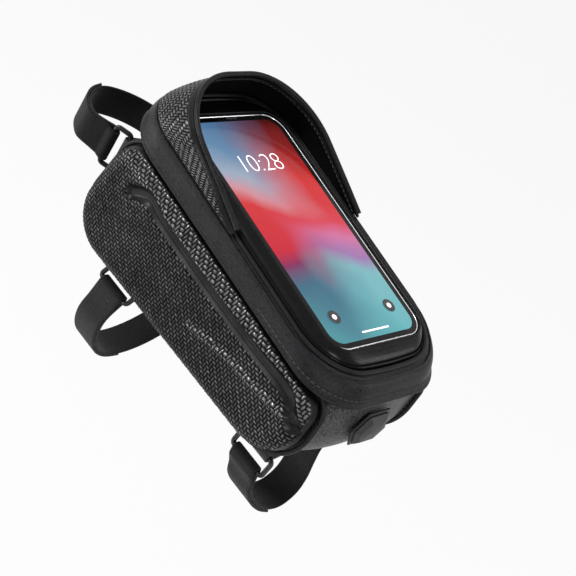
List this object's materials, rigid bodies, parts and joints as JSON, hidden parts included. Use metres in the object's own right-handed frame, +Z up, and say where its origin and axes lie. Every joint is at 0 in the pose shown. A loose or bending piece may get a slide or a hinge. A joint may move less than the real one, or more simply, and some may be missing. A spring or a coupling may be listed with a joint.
{
  "type": "bicycle frame bag",
  "caption": "Handlebar phone case for a bicycle: a moulded top-tube bag with a phone under its clear window, a sun visor, a side zip, a cable port and cinch straps.",
  "frame": {"origin": "on the underside of the base pad, in the bag's plane of symmetry, under the middle of the phone's glass", "axes": "+X to the rider's right, +Y towards the handlebar, +Z up"},
  "size_m": [0.1096, 0.2592, 0.2006],
  "materials": {
    "textured_cover": "semi-gloss polyurethane cover with a pressed herringbone grain",
    "smooth_cover": "matte fine-grained polyurethane",
    "gloss_border": "gloss black",
    "clear_film": "clear film",
    "piping": "satin piping",
    "lining": "smooth dark lining",
    "zip_tape": "woven tape",
    "strap": "ribbed felt hook-and-loop webbing",
    "moulded_plastic": "satin",
    "rubber": "matte",
    "phone_frame": "polished silver",
    "phone_glass": "lit colour display under gloss glass",
    "slider_metal": "dark plated"
  },
  "bodies": {
    "bag": {"left_side_shell": "textured_cover", "right_side_shell": "textured_cover", "gusset": "textured_cover", "left_seam_piping": "piping", "right_seam_piping": "piping", "base_pad": "rubber", "lower_zip_tape": "zip_tape", "lower_zip_coil": "moulded_plastic", "port_grommet": "rubber", "lid_hinge_tape": "zip_tape", "front_strap": "strap", "middle_strap": "strap", "rear_strap": "strap", "front_strap_ring": "moulded_plastic", "middle_strap_ring": "moulded_plastic", "rear_strap_ring": "moulded_plastic", "front_ring_tab": "strap", "middle_ring_tab": "strap", "rear_ring_tab": "strap"},
    "lid": {"lid_band": "smooth_cover", "rim_piping": "piping", "window_border": "gloss_border", "window_film": "clear_film", "phone_glass": "phone_glass", "phone_frame": "phone_frame", "phone_pocket": "zip_tape", "visor_shell": "textured_cover", "visor_lining": "lining", "visor_binding": "piping", "upper_zip_tape": "zip_tape", "upper_zip_coil": "moulded_plastic"},
    "slider": {"zip_slider": "slider_metal"},
    "pull": {"zip_pull": "rubber"},
    "cap": {"port_cap": "rubber"}
  },
  "joints": [
    {"name": "lid_hinge", "type": "hinge", "parent": "bag", "child": "lid", "pos_m": [0, 0.10896, 0.0846], "axis": [-1, 0, 0], "range_deg": [0, 100]},
    {"name": "zip_slide", "type": "slide", "parent": "bag", "child": "slider", "axis": [0, -0.9933, -0.1159], "range_m": [0, 0.105]},
    {"name": "pull_hinge", "type": "hinge", "parent": "slider", "child": "pull", "pos_m": [0.0453, 0.05789, 0.07461], "axis": [0, -0.1159, 0.9933], "range_deg": [0, 85]},
    {"name": "port_cap_hinge", "type": "hinge", "parent": "bag", "child": "cap", "pos_m": [0, -0.1013, 0.0485], "axis": [-1, 0, 0], "range_deg": [0, 90], "stiffness_Nm_per_rad": 0.002}
  ]
}
